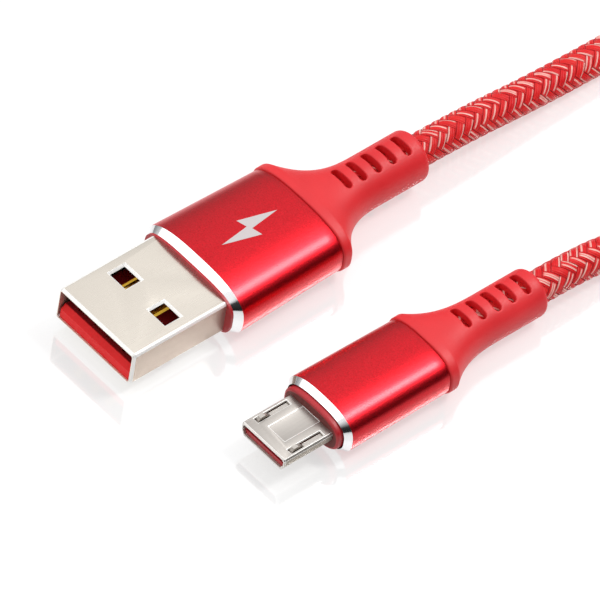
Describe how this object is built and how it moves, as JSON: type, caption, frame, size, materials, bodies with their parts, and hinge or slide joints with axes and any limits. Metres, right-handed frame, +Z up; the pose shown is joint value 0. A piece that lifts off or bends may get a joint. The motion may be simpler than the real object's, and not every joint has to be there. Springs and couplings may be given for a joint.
{
  "type": "charging cable",
  "caption": "Braided charging cable with a wide flat plug and a small trapezoid plug in metal sleeves, and its spare length in a tied coil.",
  "frame": {"origin": "on the surface that the plugs lie on, under the middle of the two plugs' common box", "axes": "+X runs across the plugs from the wide plug to the small one, +Y from their mouths towards the cord, +Z up"},
  "size_m": [0.0616, 0.1193, 0.0085],
  "materials": {
    "plug_steel": "bright nickel plate",
    "satin_steel": "satin steel",
    "gold_contact": "gold plate",
    "red_insulator": "moulded red plastic",
    "red_anodised": "red anodised, fine blasted, with a bright cut chamfer",
    "red_rubber": "matte red thermoplastic rubber",
    "inner_plastic": "plain moulded plastic",
    "braid": "red nylon braid with pale threads",
    "wire_red": "wire insulation",
    "wire_white": "wire insulation",
    "wire_green": "wire insulation",
    "wire_black": "wire insulation",
    "tie_fabric": "woven hook and loop tie"
  },
  "bodies": {
    "root": {"large_shell": "plug_steel", "large_contact_carrier": "red_insulator", "large_contact_1": "gold_contact", "large_contact_2": "gold_contact", "large_contact_3": "gold_contact", "large_contact_4": "gold_contact", "large_front_insert": "red_insulator", "large_sleeve": "red_anodised", "large_strain_relief": "red_rubber", "large_inner_mould": "inner_plastic", "large_crimp_band": "plug_steel", "large_jacket_end": "braid", "large_wire_1": "wire_red", "large_wire_2": "wire_white", "large_wire_3": "wire_green", "large_wire_4": "wire_black", "small_shell": "satin_steel", "small_contact_carrier": "red_insulator", "small_contact_tails": "gold_contact", "small_front_insert": "red_insulator", "small_sleeve": "red_anodised", "small_strain_relief": "red_rubber", "small_inner_mould": "inner_plastic", "small_crimp_band": "plug_steel", "small_jacket_end": "braid", "small_wire_1": "wire_red", "small_wire_2": "wire_white", "small_wire_3": "wire_green", "small_wire_4": "wire_black", "cord_lead_large": "braid", "cord_coil": "braid", "cord_lead_small": "braid", "coil_tie": "tie_fabric"},
    "latch_left": {"small_latch_left": "satin_steel"},
    "latch_right": {"small_latch_right": "satin_steel"},
    "contact_springs": {"small_contact_1": "gold_contact", "small_contact_2": "gold_contact", "small_contact_3": "gold_contact", "small_contact_4": "gold_contact", "small_contact_5": "gold_contact"}
  },
  "joints": [
    {"name": "latch_left_press", "type": "hinge", "parent": "root", "child": "latch_left", "pos_m": [0.00945, -0.01148, 0.00335], "axis": [1, 0, 0], "range_deg": [0, 4], "stiffness_Nm_per_rad": 0.05},
    {"name": "latch_right_press", "type": "hinge", "parent": "root", "child": "latch_right", "pos_m": [0.01475, -0.01148, 0.00335], "axis": [1, 0, 0], "range_deg": [0, 4], "stiffness_Nm_per_rad": 0.05},
    {"name": "contact_press", "type": "hinge", "parent": "root", "child": "contact_springs", "pos_m": [0.0121, -0.01148, 0.00267], "axis": [1, 0, 0], "range_deg": [0, 2.5], "stiffness_Nm_per_rad": 0.05}
  ]
}
